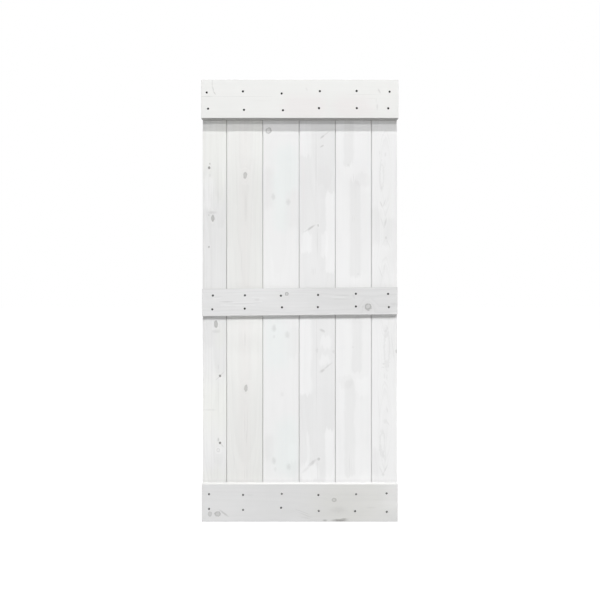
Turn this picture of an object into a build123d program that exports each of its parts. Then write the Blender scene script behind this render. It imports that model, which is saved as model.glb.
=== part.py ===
from build123d import *
from math import radians, sqrt, tan
import os

# Ledged barn door slab: six tongue-and-groove planks, held by three rails screwed on from the front.
# The foot of the door is at Z = 0, its width runs along X and its front looks towards -Y.
# The origin lies under the middle of the door's width and depth.

# Door, in millimetres
door_height = 2134.0
full_plank_count = 4
full_plank_cover = 176.5
left_plank_cover = 116.5
right_plank_cover = 124.0
plank_thickness = 22.0

# Plank edges: bevelled seams, tongue and groove inside, sawn outer edges
seam_gap = 1.4
seam_bevel = 2.0
tongue_length = 6.5
tongue_thickness = 7.0
tongue_clearance = 0.25
outer_edge_radius = 2.5

# Nick knocked out of the right plank's front edge
edge_nick_length = 24.0
edge_nick_depth = 4.0
edge_nick_height = 826.0

# Rails; an overhang counts beyond the planks at each side, and a negative one is a setback
rail_thickness = 22.0
rail_edge_radius = 2.0
top_rail_height = 186.0
top_rail_overhang = 3.0
middle_rail_height = 132.0
middle_rail_overhang = -1.5
middle_rail_centre_height = 1062.0
middle_rail_drop = 9.0
bottom_rail_height = 181.5
bottom_rail_overhang = -0.5

# Countersunk wood screws
screw_head_diameter = 10.5
screw_head_rim = 0.4
screw_head_angle = 90.0
screw_head_sink = 0.5
screw_shank_diameter = 4.8
screw_core_diameter = 3.4
screw_point_length = 6.0
screw_tip_cover = 5.0
screw_clearance = 0.1
recess_span = 5.0
recess_width = 1.2
recess_depth = 2.2
recess_taper = 7.0

# Where each screw was driven: share of its plank's cover from the left and of the rail's height
# from below, upper row first, planks from left to right
top_rail_screw_shares = (
    ((0.205, 0.665), (0.465, 0.695), (0.525, 0.64), (0.57, 0.70), (0.575, 0.705), (0.68, 0.685)),
    ((0.26, 0.245), (0.495, 0.215), (0.56, 0.205), (0.545, 0.26), (0.58, 0.26), (0.625, 0.255)),
)
middle_rail_screw_shares = (
    ((0.46, 0.755), (0.52, 0.75), (0.505, 0.725), (0.52, 0.74), (0.555, 0.77), (0.62, 0.755)),
    ((0.435, 0.25), (0.515, 0.265), (0.535, 0.30), (0.515, 0.295), (0.555, 0.305), (0.65, 0.27)),
)
bottom_rail_screw_shares = (
    ((0.30, 0.73), (0.47, 0.71), (0.53, 0.74), (0.53, 0.71), (0.56, 0.73), (0.56, 0.755)),
    ((0.30, 0.34), (0.47, 0.315), (0.51, 0.37), (0.54, 0.285), (0.53, 0.28), (0.57, 0.26)),
)

# Places that follow from the sizes above
plank_covers = [left_plank_cover, *[full_plank_cover] * full_plank_count, right_plank_cover]
plank_count = len(plank_covers)
door_width = sum(plank_covers)
seam_lines = [sum(plank_covers[:index]) - door_width / 2 for index in range(plank_count + 1)]
door_depth = plank_thickness + rail_thickness
front_y = -door_depth / 2
joint_y = front_y + rail_thickness
back_y = door_depth / 2
edge_nick_radius = (edge_nick_length**2 / 4 + edge_nick_depth**2) / (2 * edge_nick_depth)
edge_nick_offset = (edge_nick_radius - edge_nick_depth) / sqrt(2)

screw_head_radius = screw_head_diameter / 2
screw_shank_radius = screw_shank_diameter / 2
screw_core_radius = screw_core_diameter / 2
head_half_slope = tan(radians(screw_head_angle / 2))
screw_seat_depth = screw_head_sink + screw_head_rim
screw_tip_depth = door_depth - screw_tip_cover
screw_length = screw_tip_depth - screw_head_sink

rails = {
    "top_rail": {
        "height": top_rail_height,
        "overhang": top_rail_overhang,
        "centre": door_height - top_rail_height / 2,
        "drop": 0.0,
        "screw_shares": top_rail_screw_shares,
    },
    "middle_rail": {
        "height": middle_rail_height,
        "overhang": middle_rail_overhang,
        "centre": middle_rail_centre_height,
        "drop": middle_rail_drop,
        "screw_shares": middle_rail_screw_shares,
    },
    "bottom_rail": {
        "height": bottom_rail_height,
        "overhang": bottom_rail_overhang,
        "centre": bottom_rail_height / 2,
        "drop": 0.0,
        "screw_shares": bottom_rail_screw_shares,
    },
}


def facing_front(depth_y):
    """Upright plane at the given depth: X to the right, Y up the door, normal out of its front."""
    return Plane(origin=(0, depth_y, 0), x_dir=(1, 0, 0), z_dir=(0, -1, 0))


def screw_places(rail):
    """Pairs of plank index and (X, Z) place for every screw of one rail."""
    slope = rail["drop"] / door_width
    places = []
    for row in rail["screw_shares"]:
        for index, (across_share, up_share) in enumerate(row):
            x = seam_lines[index] + across_share * plank_covers[index]
            z = rail["centre"] + slope * x + (up_share - 1 / 2) * rail["height"]
            places.append((index, (x, z)))
    return places


def tongued_edge(x):
    """Section points of a right edge with a tongue, from the front face to the back face."""
    middle_y = (joint_y + back_y) / 2
    half = tongue_thickness / 2
    return [
        (x - seam_bevel, joint_y),
        (x, joint_y + seam_bevel),
        (x, middle_y - half),
        (x + tongue_length, middle_y - half),
        (x + tongue_length, middle_y + half),
        (x, middle_y + half),
        (x, back_y - seam_bevel),
        (x - seam_bevel, back_y),
    ]


def grooved_edge(x):
    """Section points of a left edge with a groove, from the back face to the front face."""
    middle_y = (joint_y + back_y) / 2
    half = tongue_thickness / 2 + tongue_clearance
    floor_x = x + tongue_length - seam_gap + tongue_clearance
    return [
        (x + seam_bevel, back_y),
        (x, back_y - seam_bevel),
        (x, middle_y + half),
        (floor_x, middle_y + half),
        (floor_x, middle_y - half),
        (x, middle_y - half),
        (x, joint_y + seam_bevel),
        (x + seam_bevel, joint_y),
    ]


def make_plank(index):
    """One plank, full door height, with a pilot hole for every screw that reaches it."""
    is_first = index == 0
    is_last = index == plank_count - 1
    left_x = seam_lines[index] if is_first else seam_lines[index] + seam_gap / 2
    right_x = seam_lines[index + 1] if is_last else seam_lines[index + 1] - seam_gap / 2
    left_points = [(left_x, back_y), (left_x, joint_y)] if is_first else grooved_edge(left_x)
    right_points = [(right_x, joint_y), (right_x, back_y)] if is_last else tongued_edge(right_x)
    pilots = [place for rail in rails.values() for owner, place in screw_places(rail) if owner == index]
    with BuildPart() as plank:
        with BuildSketch(Plane.XY) as section:
            with BuildLine():
                Polyline(*left_points, *right_points, close=True)
            make_face()
            if is_first:
                fillet(section.vertices().group_by(Axis.X)[0], radius=outer_edge_radius)
            if is_last:
                fillet(section.vertices().group_by(Axis.X)[-1], radius=outer_edge_radius)
        extrude(amount=door_height)
        with Locations(facing_front(joint_y)):
            with Locations(*pilots):
                Hole(
                    radius=screw_core_radius + screw_clearance,
                    depth=screw_tip_depth - rail_thickness + screw_clearance,
                )
        if is_last:
            with Locations((right_x + edge_nick_offset, joint_y - edge_nick_offset, edge_nick_height)):
                Sphere(radius=edge_nick_radius, mode=Mode.SUBTRACT)
    return plank.part


def make_rail(rail):
    """One rail with eased front edges, its ends upright, and countersunk holes for its screws."""
    half_length = door_width / 2 + rail["overhang"]
    end_rise = rail["drop"] / door_width * half_length
    low = rail["centre"] - rail["height"] / 2
    high = rail["centre"] + rail["height"] / 2
    holes = [place for _, place in screw_places(rail)]
    seat_radius = screw_head_radius + screw_clearance
    with BuildPart() as board:
        with BuildSketch(facing_front(joint_y)):
            with BuildLine():
                Polyline(
                    (-half_length, low - end_rise),
                    (half_length, low + end_rise),
                    (half_length, high + end_rise),
                    (-half_length, high - end_rise),
                    close=True,
                )
            make_face()
        extrude(amount=rail_thickness)
        front_face = board.faces().sort_by(Axis.Y)[0]
        fillet(front_face.edges(), radius=rail_edge_radius)
        with Locations(facing_front(front_y + screw_seat_depth)):
            with Locations(*holes):
                CounterSinkHole(
                    radius=screw_shank_radius + screw_clearance,
                    counter_sink_radius=seat_radius,
                    counter_sink_angle=screw_head_angle,
                )
    return board.part


def make_screw():
    """One screw along Z with its head's top at the origin and its point below."""
    cone_depth = (screw_head_radius - screw_shank_radius) / head_half_slope
    neck_depth = rail_thickness - screw_head_sink
    neck_step = screw_shank_radius - screw_core_radius
    with BuildPart() as screw:
        with BuildSketch(Plane.XZ):
            with BuildLine():
                Polyline(
                    (0, 0),
                    (screw_head_radius, 0),
                    (screw_head_radius, -screw_head_rim),
                    (screw_shank_radius, -screw_head_rim - cone_depth),
                    (screw_shank_radius, -neck_depth + neck_step),
                    (screw_core_radius, -neck_depth),
                    (screw_core_radius, screw_point_length - screw_length),
                    (0, -screw_length),
                    close=True,
                )
            make_face()
        revolve(axis=Axis.Z)
        with BuildSketch(Plane.XY):
            Rectangle(recess_span, recess_width)
            Rectangle(recess_width, recess_span)
        extrude(amount=-recess_depth, taper=recess_taper, mode=Mode.SUBTRACT)
    return screw.part


def make_screws(rail):
    """All the screws of one rail, as separate solids in their holes."""
    screw = make_screw()
    holes = [place for _, place in screw_places(rail)]
    with BuildPart() as screws:
        with Locations(facing_front(front_y + screw_head_sink)):
            with Locations(*holes):
                add(screw)
    return screws.part


def save(part, name):
    """Labels one finished piece and writes it as its own file."""
    part.label = name
    export_step(part, f"parts/{name}.step")


os.makedirs("parts", exist_ok=True)
for plank_index in range(plank_count):
    save(make_plank(plank_index), f"plank_{plank_index + 1}")
for rail_name, rail_values in rails.items():
    save(make_rail(rail_values), rail_name)
    save(make_screws(rail_values), f"{rail_name}_screws")
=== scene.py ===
import math

import bmesh
import bpy
from mathutils import Matrix, Vector


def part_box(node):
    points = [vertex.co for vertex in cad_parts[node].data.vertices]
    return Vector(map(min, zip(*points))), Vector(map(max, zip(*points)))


# Whitewashed plank door: every board keeps its solid and gets its own pine figure under a matt wash.
# The front of the door looks towards -Y, the grain of the planks runs up Z, that of the rails along X.

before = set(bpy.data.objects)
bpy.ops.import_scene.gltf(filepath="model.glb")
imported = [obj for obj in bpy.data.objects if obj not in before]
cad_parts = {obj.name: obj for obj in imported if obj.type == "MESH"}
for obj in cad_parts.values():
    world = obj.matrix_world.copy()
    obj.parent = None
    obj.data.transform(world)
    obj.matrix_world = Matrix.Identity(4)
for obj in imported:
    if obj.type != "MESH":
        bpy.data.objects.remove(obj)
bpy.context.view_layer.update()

# Camera, in metres: level, square to the door, at half its height
VIEW_DISTANCE = 2.2
VIEW_CENTRE_X = 0.001
VIEW_CENTRE_Z = 1.0701
VIEW_WIDTH = 2.896
SENSOR_WIDTH = 36.0

# Colours, as linear light
PINE_UNDER_WASH = (0.43, 0.429, 0.422, 1.0)
KNOT_HEART = (0.17, 0.165, 0.155, 1.0)
# The grey below is dust in the seams and painted shade on the rails' undersides and tops; the white after it
# is dried wash on the screws and a painted highlight on the bottom rail's top and on some plank bevels
DUST_AND_SHADE_GREY = (0.20, 0.197, 0.19, 1.0)
WASH_AND_HIGHLIGHT_WHITE = (0.92, 0.92, 0.91, 1.0)
SCREW_COAT = (0.005, 0.005, 0.006, 1.0)
RUBBED_COAT = (0.02, 0.02, 0.02, 1.0)
FLOOR_PAINT = (0.8, 0.8, 0.8, 1.0)
FLOOR_SHADOW_PAINT = (0.25, 0.25, 0.25, 1.0)
WHITE = (1.0, 1.0, 1.0, 1.0)

# Angles that turn a board's grain upright in its own coordinates; the middle rail stands out of level
UPRIGHT_GRAIN = 0.0
LEVEL_GRAIN = math.pi / 2
MIDDLE_RAIL_TILT = math.atan2(0.009, 0.9465)
TILTED_GRAIN = LEVEL_GRAIN + MIDDLE_RAIL_TILT

# Noise over a board, in waves a metre across it, through it and along its grain
MOTTLE_WAVES = (14.0, 14.0, 3.0)
STREAK_WAVES = (150.0, 150.0, 2.5)
FIBRE_WAVES = (700.0, 700.0, 9.0)
SLOW_RIPPLE_WAVES = (16.0, 16.0, 2.2)
QUICK_RIPPLE_WAVES = (60.0, 60.0, 14.0)
PITH_WAVES = (1.0, 1.0, 1.7)
MARK_WOBBLE_WAVES = (110.0, 110.0, 80.0)
PATCH_SWERVE_WAVES = (30.0, 30.0, 12.0)
PATCH_FRAY_WAVES = (70.0, 70.0, 4.0)
SCREW_RUB_WAVES = (420.0, 420.0, 420.0)
SCREW_SMEAR_WAVES = (160.0, 160.0, 160.0)

# How far the edge of a worn patch strays across and along the grain, in metres
PATCH_SWERVE = 0.025
PATCH_FRAY = 0.11

# How thick a mark is in the depth of its board: a streak stays on the front, a knot goes through, in metres
STREAK_DEPTH = 0.010
KNOT_DEPTH = 1.0

# Painted shade on the planks along the rails' edges, where the rails' shadow falls: heights and half width,
# in metres
PAINTED_SHADE_UNDER_TOP_RAIL = 1.9455
PAINTED_SHADE_UNDER_MIDDLE_RAIL = 0.9885
PAINTED_SHADE_OVER_BOTTOM_RAIL = 0.186
PAINTED_SHADE_HALF_WIDTH = 0.3

# Relief of the wash: what each part raises or sinks, and the depth of it all in metres
FIBRE_RISE = 0.4
STREAK_RISE = 0.6
LATE_WOOD_RISE = -0.5
KNOT_RISE = -0.8
RELIEF_STRENGTH = 0.35
RELIEF_DEPTH = 0.0004

# Light that the white surroundings give: level all round, what is added overhead and where that starts
SKY_LEVEL = 0.20
OVERHEAD_SKY = 0.51
OVERHEAD_START = 0.55

# Floor: half its width and its drop below the door in metres, and how much it glows to the eye
FLOOR_HALF_WIDTH = 60.0
FLOOR_DROP = 0.0015
FLOOR_GLOW = 0.87


class Tree:
    """Adds nodes to one shader tree and links them as they are made."""

    def __init__(self, tree):
        self.tree = tree

    def add(self, kind, inputs=None, **settings):
        node = self.tree.nodes.new(kind)
        for name, value in settings.items():
            setattr(node, name, value)
        for key, value in (inputs or {}).items():
            self.feed(node.inputs[key], value)
        return node

    def feed(self, socket, value):
        if isinstance(value, bpy.types.NodeSocket):
            self.tree.links.new(value, socket)
        else:
            socket.default_value = value

    def math(self, operation, *values):
        node = self.add("ShaderNodeMath", operation=operation)
        for socket, value in zip(node.inputs, values):
            self.feed(socket, value)
        return node.outputs[0]

    def vector(self, operation, *values):
        node = self.add("ShaderNodeVectorMath", operation=operation)
        for socket, value in zip(node.inputs, values):
            self.feed(socket, value)
        return node.outputs["Value" if operation == "LENGTH" else "Vector"]

    def combine(self, x, y, z):
        return self.add("ShaderNodeCombineXYZ", {"X": x, "Y": y, "Z": z}).outputs[0]

    def separate(self, vector):
        return self.add("ShaderNodeSeparateXYZ", {"Vector": vector}).outputs

    def ease(self, value, start, end):
        """0 before start, 1 after end and smooth between; start may be the larger, for a falling step."""
        inputs = {"Value": value, "From Min": start, "From Max": end}
        return self.add("ShaderNodeMapRange", inputs, interpolation_type="SMOOTHSTEP").outputs["Result"]

    def noise(self, place, stretch, seed, detail=2.0, roughness=0.5):
        """Noise about 0, stretched by its number of waves a metre along each axis."""
        inputs = {
            "Vector": self.vector("MULTIPLY", place, stretch), "W": seed, "Scale": 1.0, "Detail": detail,
            "Roughness": roughness,
        }
        node = self.add("ShaderNodeTexNoise", inputs, noise_dimensions="4D")
        return self.math("SUBTRACT", node.outputs["Fac"], 0.5)

    def blend(self, share, first, second):
        node = self.add("ShaderNodeMix", data_type="RGBA")
        for index, value in ((0, share), (6, first), (7, second)):
            self.feed(node.inputs[index], value)
        return node.outputs[2]

    def use(self, shared, inputs):
        """One use of a shared effect with its own values: what it puts out."""
        node = self.add("ShaderNodeGroup", node_tree=shared)
        for key, value in inputs.items():
            self.feed(node.inputs[key], value)
        return node.outputs


def shared_effect(name, vectors=(), values=(), colours=(), results=(), colour_results=()):
    """A new node group with named sockets: the group, its tree, what it is given and what it puts out."""
    group = bpy.data.node_groups.new(name, "ShaderNodeTree")
    for names, kind in ((vectors, "Vector"), (values, "Float"), (colours, "Color")):
        for socket_name in names:
            group.interface.new_socket(socket_name, in_out="INPUT", socket_type=f"NodeSocket{kind}")
    for names, kind in ((results, "Float"), (colour_results, "Color")):
        for socket_name in names:
            group.interface.new_socket(socket_name, in_out="OUTPUT", socket_type=f"NodeSocket{kind}")
    tree = Tree(group)
    return group, tree, tree.add("NodeGroupInput").outputs, tree.add("NodeGroupOutput").inputs


def growth_rings_effect():
    """Distance from the log's pith, counted in rings; the pith leans, wanders and swells along the board."""
    group, tree, given, result = shared_effect(
        "growth_rings",
        vectors=("Place",),
        values=(
            "Pith Across", "Pith Depth", "Lean", "Wander", "Ring Width", "Ripple", "Swell", "Swell Centre",
            "Swell Length", "Seed",
        ),
        results=("Rings",),
    )
    across, depth, along = tree.separate(given["Place"])
    swing = tree.noise(tree.combine(0.0, 0.0, along), PITH_WAVES, given["Seed"], 1.5)
    dive = tree.noise(tree.combine(0.3, 0.0, along), PITH_WAVES, given["Seed"], 1.5)
    off_across = tree.math("SUBTRACT", across, given["Pith Across"])
    off_across = tree.math("MULTIPLY_ADD", swing, given["Wander"], off_across)
    off_depth = tree.math("SUBTRACT", depth, given["Pith Depth"])
    off_depth = tree.math("MULTIPLY_ADD", dive, given["Wander"], off_depth)
    off_depth = tree.math("MULTIPLY_ADD", along, given["Lean"], off_depth)
    reach = tree.vector("LENGTH", tree.combine(off_across, off_depth, 0.0))
    rings = tree.math("DIVIDE", reach, given["Ring Width"])
    waves = tree.math("DIVIDE", tree.math("SUBTRACT", along, given["Swell Centre"]), given["Swell Length"])
    swell = tree.math("COSINE", tree.math("MULTIPLY", waves, 2 * math.pi))
    rings = tree.math("MULTIPLY_ADD", swell, given["Swell"], rings)
    slow_ripple = tree.noise(given["Place"], SLOW_RIPPLE_WAVES, given["Seed"])
    quick_ripple = tree.noise(given["Place"], QUICK_RIPPLE_WAVES, given["Seed"])
    ripple = tree.math("MULTIPLY_ADD", quick_ripple, 0.4, slow_ripple)
    tree.feed(result["Rings"], tree.math("MULTIPLY_ADD", ripple, given["Ripple"], rings))
    return group


def mark_shape(tree, given):
    """How far a spot lies from a mark's middle: 1 on its edge, which wobbles a little."""
    inputs = {"Vector": tree.vector("SUBTRACT", given["Place"], given["Centre"]), "Angle": given["Turn"]}
    turned = tree.add("ShaderNodeVectorRotate", inputs, rotation_type="Y_AXIS", invert=True).outputs[0]
    shape = tree.vector("ADD", tree.vector("DIVIDE", turned, given["Half Size"]), given["Wobble"])
    return tree.vector("LENGTH", shape)


MARK_VECTORS = ("Place", "Wobble", "Centre", "Half Size")
MARK_VALUES = ("Mark", "Turn", "Darkness")


def knot_effect():
    """One knot: bends the rings round itself and darkens its rim and heart."""
    group, tree, given, result = shared_effect(
        "knot",
        vectors=MARK_VECTORS,
        values=(*MARK_VALUES, "Heart", "Rings", "Swirl"),
        results=("Mark", "Rings"),
    )
    away = mark_shape(tree, given)
    solid = tree.ease(away, 1.15, 0.65)
    rim = tree.math("MULTIPLY", tree.ease(away, 0.45, 0.8), tree.ease(away, 1.25, 0.9))
    dark = tree.math("MAXIMUM", rim, tree.math("MULTIPLY", solid, given["Heart"]))
    dark = tree.math("MULTIPLY", dark, given["Darkness"])
    tree.feed(result["Mark"], tree.math("MAXIMUM", dark, given["Mark"]))
    bulge = tree.math("EXPONENT", tree.math("MULTIPLY", tree.math("MULTIPLY", away, away), -0.3))
    tree.feed(result["Rings"], tree.math("MULTIPLY_ADD", bulge, given["Swirl"], given["Rings"]))
    return group


def smudge_and_shade_effect():
    """One crack, scratch, smudge or line of painted shade: a dark mark with soft edges."""
    group, tree, given, result = shared_effect(
        "smudge_and_shade", vectors=MARK_VECTORS, values=MARK_VALUES, results=("Mark",)
    )
    dark = tree.math("MULTIPLY", tree.ease(mark_shape(tree, given), 1.6, 0.3), given["Darkness"])
    tree.feed(result["Mark"], tree.math("MAXIMUM", dark, given["Mark"]))
    return group


def wash_patch_effect():
    """One tongue of thicker or thinner wash, or of another tint: a core line or box with a round border."""
    group, tree, given, result = shared_effect(
        "wash_patch",
        vectors=("Place", "Centre", "Core"),
        values=("Radius", "Softness", "Cover", "Amount"),
        results=("Cover",),
    )
    off = tree.vector("ABSOLUTE", tree.vector("SUBTRACT", given["Place"], given["Centre"]))
    beyond = tree.vector("MAXIMUM", tree.vector("SUBTRACT", off, given["Core"]), (0.0, 0.0, 0.0))
    away = tree.math("DIVIDE", tree.vector("LENGTH", beyond), given["Radius"])
    border_end = tree.math("ADD", 1.0, given["Softness"])
    border_start = tree.math("SUBTRACT", 1.0, given["Softness"])
    inside = tree.ease(away, border_end, border_start)
    tree.feed(result["Cover"], tree.math("MULTIPLY_ADD", inside, given["Amount"], given["Cover"]))
    return group


def ring_figure_effect():
    """Late-wood lines of the growth rings: each darkens slowly and ends sharply, and no two are alike."""
    group, tree, given, result = shared_effect(
        "ring_figure", values=("Rings", "Softness", "Seed"), results=("Late Wood",)
    )
    inputs = {"W": tree.math("ADD", given["Rings"], given["Seed"]), "Scale": 0.45, "Detail": 1.0}
    pace = tree.add("ShaderNodeTexNoise", inputs, noise_dimensions="1D").outputs["Fac"]
    uneven = tree.math("MULTIPLY_ADD", pace, 2.2, given["Rings"])
    phase = tree.math("FRACT", uneven)
    end = tree.math("MULTIPLY_ADD", given["Softness"], -0.5, 1.0)
    late = tree.math("MULTIPLY", tree.ease(phase, 0.25, end), tree.ease(phase, 1.0, end))
    year = tree.math("ADD", tree.math("FLOOR", uneven), given["Seed"])
    vigour = tree.add("ShaderNodeTexWhiteNoise", {"W": year}, noise_dimensions="1D").outputs["Value"]
    vigour = tree.math("MULTIPLY_ADD", vigour, 0.7, 0.3)
    tree.feed(result["Late Wood"], tree.math("MULTIPLY", late, vigour))
    return group


def brushed_wash_effect():
    """The wash itself: broad mottling, brush streaks along the grain and fine raised fibres."""
    group, tree, given, result = shared_effect(
        "brushed_wash", vectors=("Place",), values=("Seed",), results=("Mottle", "Streak", "Fibre")
    )
    layers = {
        "Mottle": (MOTTLE_WAVES, 3.0, 0.55),
        "Streak": (STREAK_WAVES, 3.0, 0.6),
        "Fibre": (FIBRE_WAVES, 2.0, 0.6),
    }
    for name, (waves, detail, roughness) in layers.items():
        tree.feed(result[name], tree.noise(given["Place"], waves, given["Seed"], detail, roughness))
    return group


def board_sides_effect():
    """Which side of a board a spot is on: dust and painted shade, painted highlight, sawn ends and eased
    front arrises.
    """
    group, tree, given, result = shared_effect(
        "board_sides",
        vectors=("Facing",),
        values=("Low Dust And Light", "High Dust And Light"),
        results=("Dust And Shade", "Painted Highlight", "End", "Arris"),
    )
    across, depth, along = tree.separate(given["Facing"])
    # Low and high sides: dust in the plank seams, painted shade on the rails' undersides and tops, painted
    # highlight where negative
    low = tree.math("MULTIPLY", tree.ease(across, -0.25, -0.65), given["Low Dust And Light"])
    high = tree.math("MULTIPLY", tree.ease(across, 0.25, 0.65), given["High Dust And Light"])
    total = tree.math("ADD", low, high)
    tree.feed(result["Dust And Shade"], tree.math("MAXIMUM", total, 0.0))
    tree.feed(result["Painted Highlight"], tree.math("MAXIMUM", tree.math("MULTIPLY", total, -1.0), 0.0))
    tree.feed(result["End"], tree.ease(tree.math("ABSOLUTE", along), 0.5, 0.9))
    sideways = tree.math("MAXIMUM", tree.math("ABSOLUTE", across), tree.math("ABSOLUTE", along))
    arris = tree.math("MULTIPLY", tree.ease(sideways, 0.2, 0.5), tree.ease(depth, -0.2, -0.5))
    tree.feed(result["Arris"], arris)
    return group


def washed_colour_effect():
    """Colour of washed pine: tinted wash, wood showing through, dark marks and painted shade lines, dust,
    painted shade and highlight.
    """
    group, tree, given, result = shared_effect(
        "washed_colour",
        values=("Tint Share", "Show", "Mark", "Dust And Shade", "Painted Highlight"),
        colours=("Wash", "Tint"),
        colour_results=("Colour",),
    )
    colour = tree.blend(given["Tint Share"], given["Wash"], given["Tint"])
    colour = tree.blend(given["Show"], colour, PINE_UNDER_WASH)
    colour = tree.blend(given["Mark"], colour, KNOT_HEART)
    colour = tree.blend(given["Dust And Shade"], colour, DUST_AND_SHADE_GREY)
    tree.feed(result["Colour"], tree.blend(given["Painted Highlight"], colour, WASH_AND_HIGHLIGHT_WHITE))
    return group


GROWTH_RINGS = growth_rings_effect()
KNOT = knot_effect()
SMUDGE_AND_SHADE = smudge_and_shade_effect()
WASH_PATCH = wash_patch_effect()
RING_FIGURE = ring_figure_effect()
BRUSHED_WASH = brushed_wash_effect()
BOARD_SIDES = board_sides_effect()
WASHED_COLOUR = washed_colour_effect()


def streak(x, z, half_width, half_length, darkness, turn=0.0):
    """A crack, scratch, smudge or line of painted shade at (x, z) on a board's front; its sizes count across
    and along the grain.
    """
    half_size = (half_width, STREAK_DEPTH, half_length)
    return {"spot": (x, z), "Half Size": half_size, "Darkness": darkness, "Turn": math.radians(turn)}


def knot(x, z, half_width, half_length, darkness, heart=1.0, swirl=1.2):
    """A knot through a board: heart is how dark its middle is, and swirl how many rings it pushes aside."""
    half_size = (half_width, KNOT_DEPTH, half_length)
    mark = {"spot": (x, z), "Half Size": half_size, "Darkness": darkness, "Turn": 0.0}
    return {**mark, "Heart": heart, "Swirl": swirl}


def patch(x, z, half_width, half_length, amount, softness=0.3):
    """A tongue of thicker wash, or of thinner wash where the amount is negative; thin ones along the rails'
    lower edges are painted highlights.
    """
    radius = min(half_width, half_length)
    core = (half_width - radius, 1.0, half_length - radius)
    return {"spot": (x, z), "Core": core, "Radius": radius, "Softness": softness, "Amount": amount}


def area(x, z, half_width, half_length, amount):
    """A broad change in the wash that has no clear edge."""
    return patch(x, z, half_width, half_length, amount, 0.8)


def rail_painted_shade(x):
    """Painted shade on a plank along the rails' edges, where their shadow falls, thicker to the right under
    the middle rail.
    """
    under_middle = PAINTED_SHADE_UNDER_MIDDLE_RAIL + (math.tan(MIDDLE_RAIL_TILT) - 0.004) * x
    half_height = 0.010 + 0.009 * x
    darkness = 0.17 + 0.12 * x
    return [
        streak(x, PAINTED_SHADE_UNDER_TOP_RAIL, PAINTED_SHADE_HALF_WIDTH, 0.003, 0.45),
        streak(x, under_middle, PAINTED_SHADE_HALF_WIDTH, half_height, darkness, -math.degrees(MIDDLE_RAIL_TILT)),
        streak(x, PAINTED_SHADE_OVER_BOTTOM_RAIL, PAINTED_SHADE_HALF_WIDTH, 0.008, 0.09),
    ]
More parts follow.
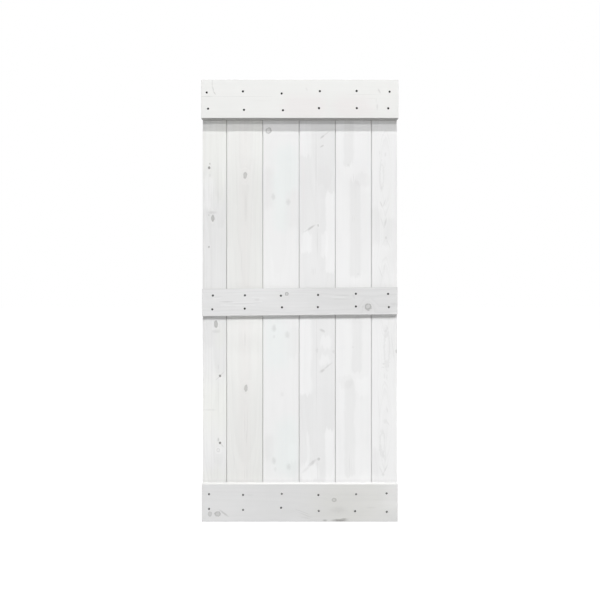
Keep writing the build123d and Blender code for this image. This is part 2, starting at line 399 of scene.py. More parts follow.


# The figure of each board. Pith, ring width, lean and wander are metres, and a swell is (rings, z, length).
# Bare is how much wood shows all over, and figure how much the ring lines show. Dust and painted light is
# what lies on the board's two sides: dust in the plank seams, painted shade on the rails' undersides and
# tops, and a painted highlight where it is negative. Patches change how thick the wash is, and a thin one
# along a rail's lower edge is a painted highlight line;
# tints change how much of the tint it has, and strips how much figure shows.
BOARDS = {
    "plank_1": {
        "grain": UPRIGHT_GRAIN, "wash": (0.874, 0.874, 0.873), "tint": (0.870, 0.875, 0.850), "bare": 0.14,
        "pith": (0.02, 0.09), "ring": 0.011, "lean": 0.02, "wander": 0.05, "figure": 0.07, "streak": 0.20,
        "mottle": 0.22, "seed": 1.7, "dust_and_painted_light": (0.0, 0.20),
        "knots": [
            knot(-0.4416, 1.7148, 0.0055, 0.0062, 0.80),
            knot(-0.4241, 1.4680, 0.0072, 0.0165, 0.52, 0.85, 2.5), knot(-0.4430, 1.329, 0.004, 0.005, 0.40),
            knot(-0.4085, 0.9530, 0.0080, 0.0165, 0.50, 0.8, 2.5),
            knot(-0.3890, 0.7006, 0.0052, 0.0058, 0.85), knot(-0.3890, 0.3730, 0.0052, 0.0058, 0.85),
            knot(-0.3973, 0.338, 0.0075, 0.0085, 0.20, 0.0),
        ],
        "streaks": [
            streak(-0.4387, 1.734, 0.003, 0.005, 0.40), streak(-0.4380, 1.678, 0.004, 0.008, 0.10),
            streak(-0.3988, 1.680, 0.0014, 0.150, 0.11), streak(-0.3988, 1.575, 0.0020, 0.055, 0.13),
            streak(-0.4197, 1.594, 0.0014, 0.048, 0.10), streak(-0.4431, 1.590, 0.0014, 0.070, 0.11),
            streak(-0.4320, 1.585, 0.0010, 0.050, 0.07), streak(-0.4275, 1.4960, 0.021, 0.0065, 0.16),
            streak(-0.4436, 1.485, 0.004, 0.005, 0.22), streak(-0.4080, 0.9180, 0.017, 0.008, 0.13),
            streak(-0.3880, 0.701, 0.003, 0.024, 0.22, 45), streak(-0.3973, 0.743, 0.003, 0.012, 0.10),
            streak(-0.4388, 0.5346, 0.030, 0.0035, 0.10), streak(-0.3970, 0.389, 0.004, 0.009, 0.28),
            streak(-0.3800, 0.363, 0.003, 0.013, 0.18, -45), streak(-0.4304, 0.520, 0.0013, 0.38, 0.06),
            streak(-0.3960, 0.600, 0.0012, 0.09, 0.08), streak(-0.4000, 0.230, 0.0014, 0.07, 0.08),
        ],
        "patches": [
            area(-0.4150, 1.800, 0.300, 0.160, 0.15), area(-0.4150, 0.530, 0.300, 0.220, 0.12),
            area(-0.4150, 1.250, 0.300, 0.150, -0.05), area(-0.4400, 0.930, 0.020, 0.090, -0.05),
            area(-0.4500, 0.420, 0.018, 0.250, 0.04), area(-0.4480, 1.586, 0.022, 0.080, 0.14),
            area(-0.3820, 0.620, 0.014, 0.080, 0.06),
        ],
        "tints": [
            area(-0.4150, 1.820, 0.300, 0.150, 0.9), area(-0.3900, 1.620, 0.028, 0.080, 0.5),
            area(-0.4150, 0.550, 0.300, 0.130, 1.0), area(-0.3850, 0.900, 0.025, 0.060, 0.6),
            area(-0.4150, 0.210, 0.300, 0.040, 0.7),
        ],
    },
    "plank_2": {
        "grain": UPRIGHT_GRAIN, "wash": (0.874, 0.875, 0.858), "tint": (0.880, 0.870, 0.856), "bare": 0.13,
        "pith": (0.0, 0.07), "ring": 0.012, "lean": 0.03, "wander": 0.06, "figure": 0.045, "streak": 0.10,
        "mottle": 0.16, "seed": 2.9, "dust_and_painted_light": (0.15, 0.35),
        "knots": [
            knot(-0.2663, 1.678, 0.0085, 0.0155, 0.40, 0.85, 3.0),
            knot(-0.2630, 0.640, 0.0085, 0.0155, 0.42, 0.85, 3.0),
        ],
        "streaks": [
            streak(-0.2634, 1.513, 0.006, 0.060, 0.06), streak(-0.2600, 1.500, 0.0014, 0.045, 0.08),
            streak(-0.2834, 1.260, 0.0016, 0.050, 0.07), streak(-0.2678, 0.882, 0.004, 0.035, 0.07),
            streak(-0.2680, 0.455, 0.0014, 0.060, 0.12), streak(-0.2560, 0.460, 0.0014, 0.065, 0.10),
            streak(-0.2610, 0.400, 0.0016, 0.035, 0.14), streak(-0.2580, 0.225, 0.0014, 0.035, 0.12),
            streak(-0.2690, 0.220, 0.0012, 0.030, 0.09), streak(-0.3200, 0.280, 0.003, 0.03, 0.05),
        ],
        "patches": [
            area(-0.2685, 1.840, 0.300, 0.140, 0.11), area(-0.2685, 0.860, 0.300, 0.180, 0.11),
            area(-0.2685, 1.067, 0.028, 1.100, -0.035), area(-0.2100, 0.180, 0.040, 0.100, -0.03),
            area(-0.2685, 0.855, 0.090, 0.040, -0.06),
        ],
        "tints": [area(-0.2685, 1.067, 0.024, 1.100, 0.9)],
    },
    "plank_3": {
        "grain": UPRIGHT_GRAIN, "wash": (0.876, 0.876, 0.876), "tint": (0.850, 0.876, 0.871), "bare": 0.03,
        "pith": (-0.01, 0.12), "ring": 0.016, "lean": 0.01, "wander": 0.05, "figure": 0.03, "streak": 0.05,
        # The negative high side is a painted highlight on the plank's right bevel
        "mottle": 0.10, "seed": 4.3, "dust_and_painted_light": (0.08, -0.2),
        "knots": [knot(-0.1524, 1.8960, 0.0140, 0.0145, 0.42, 0.35, 2.0)],
        "streaks": [
            streak(-0.1285, 1.5736, 0.009, 0.015, 0.13), streak(-0.0560, 1.5480, 0.010, 0.014, 0.13),
            streak(-0.1256, 0.9324, 0.010, 0.016, 0.16), streak(-0.1256, 0.8920, 0.006, 0.008, 0.09),
            streak(-0.0609, 0.9007, 0.011, 0.015, 0.13), streak(-0.1256, 0.2872, 0.010, 0.016, 0.16),
            streak(-0.1200, 0.2450, 0.007, 0.010, 0.08), streak(-0.0550, 0.2567, 0.010, 0.014, 0.14),
            streak(-0.0862, 0.6110, 0.008, 0.010, 0.06),
        ],
        "patches": [
            area(-0.1550, 1.610, 0.025, 0.100, -0.07), area(-0.0300, 1.510, 0.028, 0.090, -0.06),
            area(-0.0300, 0.870, 0.028, 0.080, -0.06), area(-0.1550, 0.350, 0.025, 0.060, -0.08),
            area(-0.0300, 0.235, 0.028, 0.050, -0.06), area(-0.0380, 0.320, 0.018, 0.045, 0.05),
        ],
        "tints": [
            area(-0.0600, 1.710, 0.055, 0.110, 1.1), area(-0.0920, 1.540, 0.036, 0.140, 0.8),
            area(-0.1200, 0.860, 0.060, 0.120, 0.9), area(-0.0600, 0.350, 0.060, 0.140, 1.0),
        ],
    },
    "plank_4": {
        "grain": UPRIGHT_GRAIN, "wash": (0.894, 0.894, 0.896), "bare": 0.155,
        "pith": (0.03, 0.16), "ring": 0.020, "lean": 0.03, "wander": 0.06, "figure": 0.03, "streak": 0.07,
        # The negative high side is a painted highlight on the plank's right bevel
        "mottle": 0.10, "seed": 6.1, "dust_and_painted_light": (0.45, -0.3),
        "knots": [knot(0.0896, 1.4339, 0.004, 0.006, 0.24), knot(0.0925, 0.2950, 0.006, 0.007, 0.30)],
        "streaks": [
            streak(0.1105, 1.8667, 0.004, 0.012, 0.30, 50), streak(0.1280, 1.880, 0.003, 0.020, 0.14, 52),
            streak(0.1081, 1.8205, 0.004, 0.010, 0.26, 62), streak(0.0545, 1.4227, 0.0048, 0.020, 0.30, 55),
            streak(0.0340, 1.410, 0.004, 0.016, 0.12, 60), streak(0.1100, 0.9212, 0.006, 0.012, 0.22, -60),
            streak(0.1100, 0.7254, 0.006, 0.013, 0.26, 55), streak(0.1349, 0.7464, 0.004, 0.026, 0.16, 52),
            streak(0.0599, 0.2756, 0.007, 0.024, 0.22, 50), streak(0.0302, 0.2450, 0.006, 0.022, 0.10, 50),
            streak(0.0833, 0.8257, 0.006, 0.014, 0.14), streak(0.1640, 0.8180, 0.005, 0.009, 0.12),
            streak(0.0600, 1.213, 0.0010, 0.015, 0.12), streak(0.0670, 1.208, 0.0010, 0.015, 0.12),
            streak(0.0750, 1.211, 0.0010, 0.015, 0.12), streak(0.0789, 1.740, 0.0022, 0.155, 0.10),
            streak(0.0857, 1.350, 0.0018, 0.065, 0.10), streak(0.0823, 0.780, 0.0018, 0.220, 0.10),
            streak(0.0870, 0.220, 0.0018, 0.065, 0.10),
        ],
        "patches": [
            patch(0.0253, 1.850, 0.028, 0.085, 0.10), patch(0.1500, 1.398, 0.0225, 0.194, 0.13),
            patch(0.1200, 1.340, 0.015, 0.065, 0.09), patch(0.0330, 1.353, 0.026, 0.055, 0.11),
            patch(0.0265, 0.800, 0.029, 0.195, 0.14), patch(0.1250, 0.866, 0.026, 0.032, 0.10),
            patch(0.1220, 0.777, 0.028, 0.026, 0.10), patch(0.1460, 0.290, 0.022, 0.150, 0.15),
            patch(0.0480, 0.230, 0.044, 0.050, 0.13), patch(0.0420, 0.350, 0.006, 0.070, 0.08),
            patch(0.1250, 1.640, 0.040, 0.080, -0.02), patch(0.1100, 0.530, 0.060, 0.120, -0.02),
        ],
    },
    "plank_5": {
        "grain": UPRIGHT_GRAIN, "wash": (0.897, 0.897, 0.898), "bare": 0.045,
        "pith": (0.0, 0.22), "ring": 0.030, "lean": 0.05, "wander": 0.10, "figure": 0.03, "softness": 0.9,
        "streak": 0.07, "mottle": 0.08, "seed": 7.7, "dust_and_painted_light": (0.45, 0.20),
        "streaks": [
            streak(0.2366, 1.727, 0.004, 0.006, 0.10), streak(0.2615, 1.666, 0.0014, 0.019, 0.14),
            streak(0.2580, 1.468, 0.0010, 0.014, 0.10), streak(0.2660, 1.465, 0.0010, 0.012, 0.09),
            streak(0.2838, 1.197, 0.006, 0.0025, 0.10), streak(0.2586, 0.840, 0.004, 0.004, 0.10),
            streak(0.2415, 0.270, 0.0014, 0.046, 0.12), streak(0.2500, 0.255, 0.0010, 0.035, 0.08),
            streak(0.1830, 1.250, 0.0012, 0.28, 0.05),
        ],
        "patches": [
            patch(0.2386, 1.840, 0.0235, 0.120, -0.11), patch(0.2712, 1.415, 0.027, 0.240, -0.10),
            patch(0.3040, 1.660, 0.040, 0.032, -0.05), patch(0.2770, 0.850, 0.024, 0.140, -0.10),
            patch(0.2444, 0.440, 0.0245, 0.240, -0.10), patch(0.2270, 0.670, 0.037, 0.030, -0.06),
            patch(0.3080, 0.640, 0.033, 0.045, 0.05), patch(0.3200, 1.400, 0.020, 0.200, -0.02),
            area(0.3000, 0.260, 0.060, 0.090, 0.04), area(0.3150, 0.180, 0.022, 0.032, 0.06),
        ],
    },
    "plank_6": {
        "grain": UPRIGHT_GRAIN, "wash": (0.884, 0.884, 0.884), "bare": 0.02,
        "pith": (0.005, 0.012), "ring": 0.0075, "lean": 0.0, "wander": 0.014, "swell": (1.7, 1.39, 0.62),
        "ripple": 2.4, "figure": 0.02, "streak": 0.06, "mottle": 0.08, "seed": 9.2, "dust_and_painted_light": (0.15, 0.0),
        "knots": [
            knot(0.3990, 1.674, 0.0115, 0.068, 0.08, 0.0, 0.0),
            knot(0.4240, 0.835, 0.0150, 0.098, 0.085, 0.0, 0.0),
            knot(0.4020, 0.370, 0.0130, 0.066, 0.09, 0.0, 0.0),
            knot(0.4715, 0.820, 0.004, 0.009, 0.45, 1.0, 0.5),
        ],
        "streaks": [
            streak(0.3890, 1.788, 0.004, 0.010, 0.07), streak(0.4175, 1.780, 0.005, 0.010, 0.10),
            streak(0.3975, 1.616, 0.006, 0.010, 0.11), streak(0.3975, 1.536, 0.0026, 0.018, 0.18, -20),
            streak(0.4110, 1.540, 0.0026, 0.020, 0.12, 20), streak(0.4015, 1.450, 0.0022, 0.024, 0.10, -17),
            streak(0.4170, 1.447, 0.0042, 0.023, 0.16, 14), streak(0.4197, 1.3735, 0.005, 0.007, 0.17),
            streak(0.4095, 1.353, 0.0030, 0.022, 0.07, 27), streak(0.4304, 1.347, 0.0030, 0.026, 0.07, -24),
            streak(0.4187, 1.348, 0.010, 0.018, 0.05), streak(0.3944, 1.205, 0.0024, 0.030, 0.08, -20),
            streak(0.4120, 1.225, 0.0020, 0.040, 0.06, 5), streak(0.4540, 0.835, 0.0022, 0.070, 0.08, -8),
            streak(0.4080, 0.759, 0.006, 0.004, 0.16), streak(0.4320, 0.750, 0.004, 0.010, 0.11),
            streak(0.4060, 0.742, 0.007, 0.003, 0.11), streak(0.4130, 0.700, 0.004, 0.012, 0.09),
            streak(0.4240, 0.692, 0.003, 0.012, 0.09), streak(0.3850, 0.560, 0.0020, 0.080, 0.08, -4),
            streak(0.4260, 0.535, 0.003, 0.016, 0.12, -15), streak(0.4170, 0.478, 0.009, 0.010, 0.10),
            streak(0.4290, 0.470, 0.003, 0.014, 0.09, -30), streak(0.4180, 0.330, 0.0018, 0.090, 0.08, 4),
            streak(0.4030, 0.308, 0.006, 0.009, 0.07), streak(0.4160, 0.242, 0.003, 0.022, 0.12, 25),
            streak(0.3960, 0.240, 0.003, 0.022, 0.10, -25), streak(0.4060, 0.220, 0.007, 0.008, 0.16),
        ],
        "patches": [
            area(0.3660, 1.430, 0.024, 0.090, -0.08), area(0.4250, 1.415, 0.022, 0.055, -0.08),
            area(0.4560, 1.340, 0.020, 0.130, -0.06), area(0.4560, 0.880, 0.020, 0.090, -0.06),
            area(0.4150, 1.180, 0.060, 0.050, -0.05), area(0.4300, 1.280, 0.036, 0.034, -0.06),
            area(0.4090, 1.620, 0.020, 0.110, 0.05), area(0.3660, 0.280, 0.022, 0.070, -0.08),
        ],
        "strips": [area(0.4070, 1.067, 0.030, 1.10, 0.09)],
    },
    "top_rail": {
        "grain": LEVEL_GRAIN, "wash": (0.853, 0.854, 0.839), "tint": (0.856, 0.836, 0.828), "bare": 0.05,
        "pith": (0.02, 0.14), "ring": 0.018, "lean": 0.01, "wander": 0.06, "figure": 0.03, "streak": 0.07,
        # The rail's sides carry painted shade on its underside and on its top
        "mottle": 0.07, "seed": 11.4, "dust_and_painted_light": (0.60, 0.60),
        "streaks": [
            streak(-0.4222, 2.117, 0.018, 0.0026, 0.14), streak(-0.4190, 2.090, 0.014, 0.0026, 0.26, -12),
            streak(-0.4125, 2.070, 0.010, 0.0026, 0.30, -38), streak(-0.4500, 2.0529, 0.0018, 0.035, 0.20),
            streak(-0.2900, 2.0529, 0.0013, 0.16, 0.11), streak(-0.1900, 2.0316, 0.0011, 0.045, 0.06),
            streak(0.3070, 2.0622, 0.0012, 0.072, 0.09), streak(0.3500, 2.0420, 0.0012, 0.025, 0.07),
            streak(0.0333, 2.0877, 0.009, 0.0035, 0.09, -25),
            streak(0.3833, 2.0790, 0.011, 0.0042, 0.16, -25), streak(0.3736, 2.0030, 0.013, 0.0040, 0.14),
            streak(0.3690, 2.0330, 0.010, 0.0030, 0.06),
        ],
        # The first patch, a thin line just above the rail's lower front edge, is a painted highlight
        "patches": [patch(0.0, 1.9525, 0.0025, 0.60, 0.08), area(0.1100, 2.000, 0.050, 0.220, -0.03)],
        "tints": [area(0.0200, 2.000, 0.050, 0.100, 1.2), area(0.2600, 2.000, 0.050, 0.090, 1.1)],
    },
    "middle_rail": {
        "grain": TILTED_GRAIN, "wash": (0.796, 0.796, 0.798), "bare": 0.14,
        "pith": (0.0, 0.06), "ring": 0.011, "lean": 0.02, "wander": 0.06, "figure": 0.09, "streak": 0.15,
        # The rail's sides carry painted shade on its underside and on its top
        "mottle": 0.26, "seed": 13.8, "dust_and_painted_light": (0.55, 0.35),
        "knots": [
            knot(-0.0623, 1.0996, 0.0076, 0.0078, 0.60, 0.45, 1.5),
            knot(0.3302, 1.0383, 0.0145, 0.0150, 0.50, 0.45, 3.0),
        ],
        "streaks": [
            streak(0.3310, 1.0215, 0.005, 0.006, 0.40), streak(0.3040, 1.0383, 0.006, 0.007, 0.08),
            streak(-0.3540, 1.0619, 0.0032, 0.030, 0.15), streak(-0.2060, 1.0710, 0.006, 0.012, 0.10),
            streak(-0.2600, 1.0530, 0.0016, 0.060, 0.10), streak(-0.2100, 1.0600, 0.0014, 0.024, 0.09),
            streak(0.2050, 1.0919, 0.0024, 0.032, 0.14), streak(0.1990, 1.0740, 0.0040, 0.045, 0.07),
            streak(0.2600, 1.0870, 0.0110, 0.003, 0.10, -25), streak(0.4528, 1.0513, 0.006, 0.014, 0.09),
            streak(-0.4000, 1.0850, 0.0016, 0.022, 0.08), streak(0.0800, 1.1170, 0.0020, 0.080, 0.05),
        ],
        "patches": [
            patch(-0.4000, 1.0790, 0.0022, 0.024, 0.12), patch(-0.2550, 1.0590, 0.0022, 0.070, 0.12),
            patch(-0.2950, 1.0430, 0.0022, 0.085, 0.12), patch(-0.2050, 1.0800, 0.0022, 0.030, 0.10),
            # The second patch below, a thin line at the rail's lower front edge, is a painted highlight
            patch(0.1950, 1.0840, 0.0022, 0.040, 0.10), patch(0.0, 1.0000, 0.0025, 0.60, 0.14),
            area(-0.3800, 1.0600, 0.100, 0.250, 0.03), area(0.3000, 1.0650, 0.100, 0.260, -0.05),
        ],
    },
    "bottom_rail": {
        "grain": LEVEL_GRAIN, "wash": (0.780, 0.780, 0.782), "tint": (0.782, 0.780, 0.760), "bare": 0.18,
        "pith": (-0.03, 0.07), "ring": 0.013, "lean": 0.02, "wander": 0.06, "figure": 0.05, "streak": 0.08,
        # The rail's sides carry painted shade on its underside and a painted highlight on its top
        "mottle": 0.14, "seed": 15.5, "dust_and_painted_light": (0.30, -1.0),
        "knots": [
            knot(-0.4340, 0.0372, 0.0108, 0.0098, 0.34, 0.65, 1.5),
            knot(-0.3960, 0.0368, 0.0120, 0.0135, 0.46, 0.60, 2.0),
            knot(0.1660, 0.1053, 0.0090, 0.0120, 0.42, 0.4, 2.0),
        ],
        "streaks": [
            streak(-0.3660, 0.0410, 0.0040, 0.024, 0.30, 36), streak(0.1850, 0.0580, 0.014, 0.036, 0.10),
            streak(0.1930, 0.0060, 0.0060, 0.034, 0.62), streak(0.2130, 0.0130, 0.0040, 0.016, 0.40),
            streak(0.1216, 0.0060, 0.0045, 0.010, 0.40), streak(0.0150, 0.0470, 0.0024, 0.030, 0.12, 20),
            streak(0.0250, 0.0330, 0.0024, 0.032, 0.12, 22), streak(0.0300, 0.0180, 0.0024, 0.030, 0.10, 12),
            streak(0.3440, 0.0680, 0.0040, 0.022, 0.08), streak(-0.2400, 0.1300, 0.0050, 0.016, 0.05),
            streak(-0.0100, 0.1805, 0.0030, 0.46, 0.05),
        ],
        "patches": [
            area(-0.0300, 0.0900, 0.140, 0.160, -0.03), area(-0.4000, 0.1000, 0.140, 0.160, 0.07),
            area(0.2000, 0.0700, 0.120, 0.130, -0.09), area(0.4600, 0.1300, 0.080, 0.050, 0.13),
        ],
        "tints": [area(0.2600, 0.0900, 0.160, 0.180, 1.1)],
    },
}


def washed_pine(name, board):
    """Material of one board: rings bent by its knots, under a brushed wash, with dust, painted shade and
    painted highlight on its sides.
    """
    low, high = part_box(name)
    middle = (low + high) / 2
    turn = Matrix.Rotation(board["grain"], 3, "Y")
    seed = board["seed"]
    material = bpy.data.materials.new(f"washed_pine_{name}")
    material.use_nodes = True
    tree = Tree(material.node_tree)
    shader = material.node_tree.nodes["Principled BSDF"]

    # Board coordinates: across the face, into the depth and along the grain, from the board's middle
    source = tree.add("ShaderNodeTexCoord").outputs
    angles = (0.0, board["grain"], 0.0)
    inputs = {"Vector": source["Object"], "Location": -(turn @ middle), "Rotation": angles}
    place = tree.add("ShaderNodeMapping", inputs).outputs[0]
    inputs = {"Vector": source["Normal"], "Rotation": angles}
    facing = tree.add("ShaderNodeMapping", inputs, vector_type="VECTOR").outputs[0]

    def spot_inputs(mark):
        values = dict(mark)
        x, z = values.pop("spot")
        return {**values, "Centre": turn @ (Vector((x, low.y, z)) - middle)}

    pith_across, pith_depth = board["pith"]
    swell_rings, swell_z, swell_length = board.get("swell", (0.0, 0.0, 1.0))
    rings = tree.use(GROWTH_RINGS, {
        "Place": place, "Pith Across": pith_across, "Pith Depth": pith_depth, "Lean": board["lean"],
        "Wander": board["wander"], "Ring Width": board["ring"], "Ripple": board.get("ripple", 0.9),
        "Swell": swell_rings, "Swell Centre": swell_z - middle.z, "Swell Length": swell_length, "Seed": seed,
    })["Rings"]

    # Knots first, because only they sink into the relief; then what lies on the face alone
    wobble_across = tree.noise(place, MARK_WOBBLE_WAVES, seed)
    wobble_along = tree.noise(place, MARK_WOBBLE_WAVES, seed + 3.0)
    on_face = {"Place": place, "Wobble": tree.combine(wobble_across, 0.0, wobble_along)}
    sunk = 0.0
    for this_knot in board.get("knots", ()):
        outputs = tree.use(KNOT, {**spot_inputs(this_knot), **on_face, "Mark": sunk, "Rings": rings})
        sunk = outputs["Mark"]
        rings = outputs["Rings"]
    mark = sunk
    # Lines of painted shade under the top and middle rails and over the bottom rail join the dark marks
    painted_shade = rail_painted_shade(middle.x) if board["grain"] == UPRIGHT_GRAIN else []
    for this_streak in board["streaks"] + painted_shade:
        mark = tree.use(SMUDGE_AND_SHADE, {**spot_inputs(this_streak), **on_face, "Mark": mark})["Mark"]

    # Worn and thick patches of wash, and painted highlight lines along the rails' lower edges, with ragged
    # edges
    swerve = tree.math("MULTIPLY", tree.noise(place, PATCH_SWERVE_WAVES, seed, 3.0), PATCH_SWERVE)
    fray = tree.math("MULTIPLY", tree.noise(place, PATCH_FRAY_WAVES, seed, 4.0, 0.6), PATCH_FRAY)
    ragged = tree.vector("ADD", place, tree.combine(swerve, 0.0, fray))

    def patched(level, patches):
        for this_patch in patches:
            inputs = {**spot_inputs(this_patch), "Place": ragged, "Cover": level}
            level = tree.use(WASH_PATCH, inputs)["Cover"]
        return level

    cover = patched(0.0, board["patches"])
    tint = patched(0.0, board.get("tints", ()))
    figure = patched(board["figure"], board.get("strips", ()))
    inputs = {"Rings": rings, "Softness": board.get("softness", 0.2), "Seed": seed}
    late = tree.use(RING_FIGURE, inputs)["Late Wood"]
    wash = tree.use(BRUSHED_WASH, {"Place": place, "Seed": seed})
    # The sides get dust in the plank seams, painted shade on the rails' undersides and tops, and painted
    # highlight where negative
    low_dust_and_light, high_dust_and_light = board["dust_and_painted_light"]
    sides = tree.use(BOARD_SIDES, {"Facing": facing, "Low Dust And Light": low_dust_and_light, "High Dust And Light": high_dust_and_light})

    # How much wood shows through the wash
    show = tree.math("MULTIPLY_ADD", late, figure, board["bare"])
    show = tree.math("MULTIPLY_ADD", wash["Mottle"], board["mottle"], show)
    show = tree.math("MULTIPLY_ADD", wash["Streak"], board["streak"], show)
    show = tree.math("SUBTRACT", show, cover)
    rubbed = tree.math("MULTIPLY", sides["Arris"], tree.math("MULTIPLY_ADD", wash["Mottle"], 0.8, 0.08))
    show = tree.math("ADD", show, rubbed)
    sawn = tree.math("MULTIPLY", sides["End"], tree.math("MULTIPLY_ADD", late, 0.3, 0.75))
    show = tree.math("ADD", show, sawn)
    show = tree.math("MINIMUM", tree.math("MAXIMUM", show, 0.0), 1.0)
    colour = tree.use(WASHED_COLOUR, {
        "Wash": (*board["wash"], 1.0), "Tint": (*board.get("tint", board["wash"]), 1.0), "Tint Share": tint,
        "Show": show, "Mark": mark, "Dust And Shade": sides["Dust And Shade"], "Painted Highlight": sides["Painted Highlight"],
    })["Colour"]
    tree.feed(shader.inputs["Base Color"], colour)
    tree.feed(shader.inputs["Roughness"], tree.math("MULTIPLY_ADD", wash["Streak"], 0.3, 0.62))
    shader.inputs["Specular IOR Level"].default_value = 0.25

    height = tree.math("MULTIPLY", wash["Fibre"], FIBRE_RISE)
    height = tree.math("MULTIPLY_ADD", wash["Streak"], STREAK_RISE, height)
    height = tree.math("MULTIPLY_ADD", late, LATE_WOOD_RISE, height)
    height = tree.math("MULTIPLY_ADD", sunk, KNOT_RISE, height)
    inputs = {"Strength": RELIEF_STRENGTH, "Distance": RELIEF_DEPTH, "Height": height}
    bump = tree.add("ShaderNodeBump", inputs)
    tree.feed(shader.inputs["Normal"], bump.outputs["Normal"])
    return material


def black_steel(name, dust_share):
    """Black coated screw steel, rubbed brighter in spots, with dried wash left on it."""
    material = bpy.data.materials.new(name)
    material.use_nodes = True
    tree = Tree(material.node_tree)
    shader = material.node_tree.nodes["Principled BSDF"]
    source = tree.add("ShaderNodeTexCoord").outputs["Object"]
    place = tree.add("ShaderNodeMapping", {"Vector": source}).outputs[0]
    rub = tree.noise(place, SCREW_RUB_WAVES, 3.0, 3.0)
    smear = tree.noise(place, SCREW_SMEAR_WAVES, 8.0, 2.0)
    colour = tree.blend(tree.ease(rub, 0.0, 0.3), SCREW_COAT, RUBBED_COAT)
    smeared = tree.math("MULTIPLY", tree.ease(smear, -0.15, 0.2), dust_share)
    tree.feed(shader.inputs["Base Color"], tree.blend(smeared, colour, WASH_AND_HIGHLIGHT_WHITE))
    tree.feed(shader.inputs["Roughness"], tree.math("MULTIPLY_ADD", rub, 0.4, 0.65))
    shader.inputs["Specular IOR Level"].default_value = 0.15
    return material


def dress(name, material):
    """Puts one material on a node's whole surface."""
    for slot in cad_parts[name].material_slots:
        slot.material = material


for board_name, board_values in BOARDS.items():
    dress(board_name, washed_pine(board_name, board_values))
for rail_name, wash_share in (("top_rail", 0.0), ("middle_rail", 0.12), ("bottom_rail", 0.38)):
    dress(f"{rail_name}_screws", black_steel(f"black_screw_{rail_name}", wash_share))


def seen_directly(tree):
    """1 for what the camera sees, also mirrored or through glass, and 0 for light that falls on the door."""
    ray = tree.add("ShaderNodeLightPath").outputs
    mirrored = tree.math("MAXIMUM", ray["Is Glossy Ray"], ray["Is Transmission Ray"])
    return tree.math("MAXIMUM", ray["Is Camera Ray"], mirrored)


def white_surroundings():
    """White to the eye; as light, a soft even sky that is brighter overhead."""
    world = bpy.data.worlds.new("white_surroundings")
    bpy.context.scene.world = world
    world.use_nodes = True
    tree = Tree(world.node_tree)
    sky = world.node_tree.nodes["Background"]
    up = tree.separate(tree.add("ShaderNodeTexCoord").outputs["Generated"])[2]
    sky.inputs["Color"].default_value = WHITE
    overhead = tree.ease(up, OVERHEAD_START, 1.0)
    tree.feed(sky.inputs["Strength"], tree.math("MULTIPLY_ADD", overhead, OVERHEAD_SKY, SKY_LEVEL))
    white = tree.add("ShaderNodeBackground", {"Color": WHITE, "Strength": 1.0})
    mixed = tree.add("ShaderNodeMixShader", {0: seen_directly(tree), 1: sky.outputs[0], 2: white.outputs[0]})
    tree.feed(world.node_tree.nodes["World Output"].inputs["Surface"], mixed.outputs[0])


def white_floor():
    """Wide white floor that shows only the door's shadow to the eye."""
    mesh = bpy.data.meshes.new("floor")
    shape = bmesh.new()
    bmesh.ops.create_grid(shape, x_segments=1, y_segments=1, size=FLOOR_HALF_WIDTH)
    bmesh.ops.translate(shape, verts=shape.verts, vec=(0.0, 0.0, -FLOOR_DROP))
    shape.to_mesh(mesh)
    shape.free()
    floor = bpy.data.objects.new("floor", mesh)
    bpy.context.scene.collection.objects.link(floor)
    material = bpy.data.materials.new("white_floor")
    material.use_nodes = True
    tree = Tree(material.node_tree)
    nodes = material.node_tree.nodes
    nodes.remove(nodes["Principled BSDF"])
    paint = tree.add("ShaderNodeBsdfDiffuse", {"Color": FLOOR_PAINT})
    shadow_paint = tree.add("ShaderNodeBsdfDiffuse", {"Color": FLOOR_SHADOW_PAINT})
    glow = tree.add("ShaderNodeEmission", {"Color": WHITE, "Strength": FLOOR_GLOW})
    seen_floor = tree.add("ShaderNodeAddShader", {0: shadow_paint.outputs[0], 1: glow.outputs[0]})
    looks = {0: seen_directly(tree), 1: paint.outputs[0], 2: seen_floor.outputs[0]}
    mixed = tree.add("ShaderNodeMixShader", looks)
    tree.feed(nodes["Material Output"].inputs["Surface"], mixed.outputs[0])
    mesh.materials.append(material)


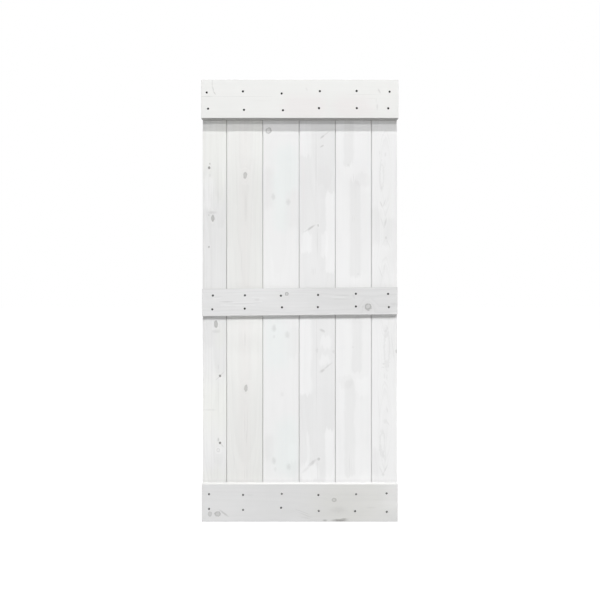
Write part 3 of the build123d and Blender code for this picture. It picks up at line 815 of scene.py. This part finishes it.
def lamp(name, kind, place, target, energy, **settings):
    """One lamp at a place, turned towards a target and left out of the picture."""
    data = bpy.data.lights.new(name, kind)
    data.energy = energy
    for key, value in settings.items():
        setattr(data, key, value)
    lamp_object = bpy.data.objects.new(name, data)
    bpy.context.scene.collection.objects.link(lamp_object)
    lamp_object.location = place
    lamp_object.rotation_euler = (Vector(target) - Vector(place)).to_track_quat("-Z", "Y").to_euler()
    lamp_object.visible_camera = False


def studio_lamps():
    """High front light, a steep light that ends below the door's head, a lower spot and a back fill."""
    elevation = math.radians(45)
    lamp(
        "high_front", "SUN", energy=1.01, angle=math.radians(4),
        place=(0.3, -math.cos(elevation), math.sin(elevation)), target=(0.0, 0.0, 0.0),
    )
    lamp(
        "head_spot", "SPOT", energy=2370.0, place=(0.0, -2.87, 9.4), target=(0.0, 0.0, 9.898),
        spot_size=math.radians(160), spot_blend=0.0178, shadow_soft_size=0.1,
    )
    lamp(
        "lower_spot", "SPOT", energy=868.0, place=(0.0, -6.0, 5.7), target=(0.0, -2.704, -0.3),
        spot_size=math.radians(58), spot_blend=0.284, shadow_soft_size=0.15,
    )
    lamp(
        "back_fill", "SPOT", energy=230.0, place=(-0.8, 4.5, 2.6), target=(0.0, 0.0, 1.0),
        spot_size=math.radians(30), spot_blend=0.5, shadow_soft_size=0.4,
    )


def front_camera():
    """Level camera square to the door, at the photograph's scale in the plane of the rails' faces."""
    rail_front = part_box("top_rail")[0].y
    data = bpy.data.cameras.new("camera")
    data.sensor_width = SENSOR_WIDTH
    data.lens = SENSOR_WIDTH * VIEW_DISTANCE / VIEW_WIDTH
    camera = bpy.data.objects.new("camera", data)
    bpy.context.scene.collection.objects.link(camera)
    camera.location = (VIEW_CENTRE_X, rail_front - VIEW_DISTANCE, VIEW_CENTRE_Z)
    camera.rotation_euler = (math.pi / 2, 0.0, 0.0)
    bpy.context.scene.camera = camera


white_surroundings()
white_floor()
studio_lamps()
front_camera()
bpy.context.scene.view_settings.view_transform = "Standard"
